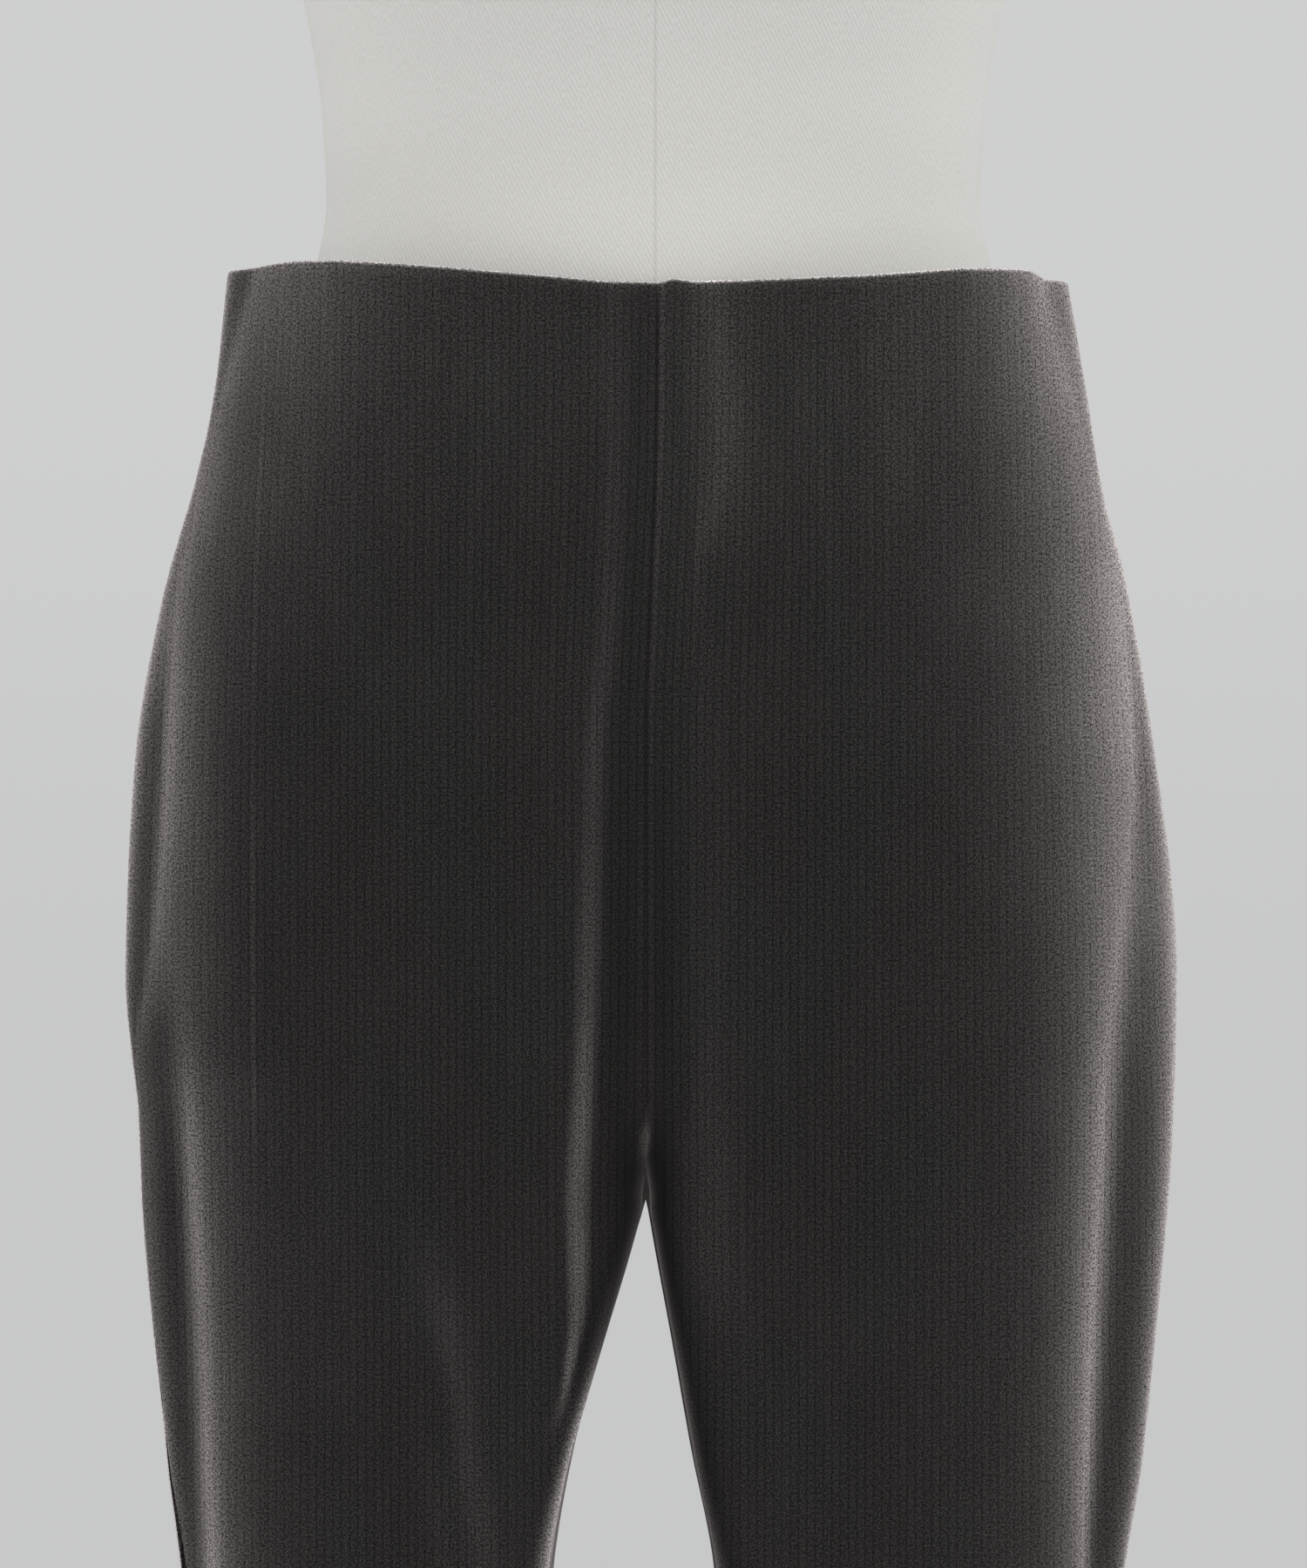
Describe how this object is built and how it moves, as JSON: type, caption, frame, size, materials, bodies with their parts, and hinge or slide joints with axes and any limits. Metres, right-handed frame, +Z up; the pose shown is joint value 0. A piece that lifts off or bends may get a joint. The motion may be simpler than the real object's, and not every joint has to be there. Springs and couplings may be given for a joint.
{
  "type": "corduroy trousers on a dress form",
  "caption": "Tapered pull-on corduroy trousers with a plain turned waist edge, resting on a limbless cloth-covered dress form with an offset pole and a round floor base.",
  "frame": {"origin": "middle of the underside of the round base plate, on the floor", "axes": "+Z up; -Y is the front of the trousers; +X is the wearer's left"},
  "size_m": [0.4, 0.4, 1.488],
  "materials": {
    "corduroy": "mid-wale cotton corduroy, charcoal grey-brown, vertical wales with a short soft pile that lightens at grazing angles",
    "form_twill": "off-white cotton twill stretched smooth",
    "stand_steel": "satin brushed steel"
  },
  "bodies": {
    "root": {"front_panel_right": "corduroy", "front_panel_left": "corduroy", "back_panel_right": "corduroy", "back_panel_left": "corduroy", "dress_form_torso": "form_twill", "form_flange": "stand_steel", "pole": "stand_steel", "pole_socket": "stand_steel", "base_plate": "stand_steel"}
  },
  "joints": []
}
